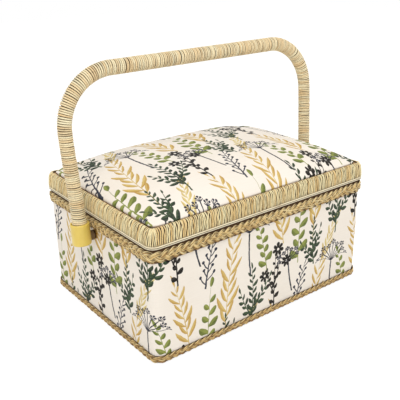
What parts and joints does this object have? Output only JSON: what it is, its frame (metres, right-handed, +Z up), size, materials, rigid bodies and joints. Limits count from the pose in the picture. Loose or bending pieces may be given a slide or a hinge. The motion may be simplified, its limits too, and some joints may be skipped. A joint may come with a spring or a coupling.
{
  "type": "sewing basket",
  "caption": "Rectangular fabric-covered sewing box with a padded hinged lid, woven straw trims, a wound swing handle and a lift-out tray.",
  "frame": {"origin": "centre of the box's underside, on the surface that it stands on", "axes": "+X along the long side, -Y the front, +Y the hinged back, +Z up"},
  "size_m": [0.3552, 0.2281, 0.2842],
  "materials": {
    "printed_cotton": "cream cotton with a botanical print",
    "straw_cord": "matt twisted straw cord",
    "seagrass": "matt braided seagrass",
    "pale_cord": "smooth twisted cord",
    "yellow_plastic": "soft gloss",
    "beech": "sanded",
    "fibre_board": "raw",
    "cream_satin": "satin",
    "grey_felt": "felt",
    "brass": "polished",
    "zinc_steel": "zinc plated",
    "clear_plastic": "translucent"
  },
  "bodies": {
    "box": {"base_felt": "grey_felt", "base_board": "fibre_board", "front_board": "fibre_board", "back_board": "fibre_board", "left_board": "fibre_board", "right_board": "fibre_board", "corner_post_front_left": "beech", "corner_post_front_right": "beech", "corner_post_back_left": "beech", "corner_post_back_right": "beech", "outer_cover": "printed_cotton", "inner_lining": "cream_satin", "floor_pad": "cream_satin", "top_braid": "seagrass", "foot_braid": "seagrass", "tray_ledge_left": "beech", "pivot_bush_left": "brass", "hinge_lower_leaf_left": "brass", "hinge_pin_left": "brass", "box_hinge_screw_left_1": "brass", "box_hinge_screw_left_2": "brass", "tray_ledge_right": "beech", "pivot_bush_right": "brass", "hinge_lower_leaf_right": "brass", "hinge_pin_right": "brass", "box_hinge_screw_right_1": "brass", "box_hinge_screw_right_2": "brass"},
    "lid": {"rail_front": "beech", "rail_back": "beech", "rail_left": "beech", "rail_right": "beech", "rim_wrap": "straw_cord", "rim_piping": "pale_cord", "lid_board": "fibre_board", "lid_lining": "cream_satin", "lid_pocket": "cream_satin", "pincushion": "cream_satin", "lid_cushion": "printed_cotton", "hinge_upper_leaf_left": "brass", "lid_hinge_screw_left_1": "brass", "lid_hinge_screw_left_2": "brass", "hinge_upper_leaf_right": "brass", "lid_hinge_screw_right_1": "brass", "lid_hinge_screw_right_2": "brass"},
    "pivots": {"pivot_bolt_left": "zinc_steel", "pivot_washer_left": "zinc_steel", "pivot_bolt_right": "zinc_steel", "pivot_washer_right": "zinc_steel"},
    "handle": {"handle_core": "beech", "handle_winding": "straw_cord", "ferrule_left": "yellow_plastic", "ferrule_right": "yellow_plastic"},
    "tray": {"tray": "clear_plastic", "tray_long_divider": "clear_plastic", "tray_short_divider_1": "clear_plastic", "tray_short_divider_2": "clear_plastic", "tray_short_divider_3": "clear_plastic"}
  },
  "joints": [
    {"name": "lid_hinge", "type": "hinge", "parent": "box", "child": "lid", "pos_m": [0, 0.1137, 0.12765], "axis": [-1, 0, 0], "range_deg": [0, 105]},
    {"name": "pivots_turn", "type": "hinge", "parent": "box", "child": "pivots", "pos_m": [0, 0, 0.1065], "axis": [-1, 0, 0], "range_deg": [0, 84]},
    {"name": "handle_swing", "type": "hinge", "parent": "pivots", "child": "handle", "pos_m": [0, 0, 0.1065], "axis": [-1, 0, 0], "range_deg": [-94.5, 30]},
    {"name": "tray_lift", "type": "slide", "parent": "box", "child": "tray", "axis": [0, 0, 1], "range_m": [0, 0.006]}
  ],
  "couplings": [
    {"joint": "pivots_turn", "follows": "lid_hinge", "ratio": 0.8}
  ]
}
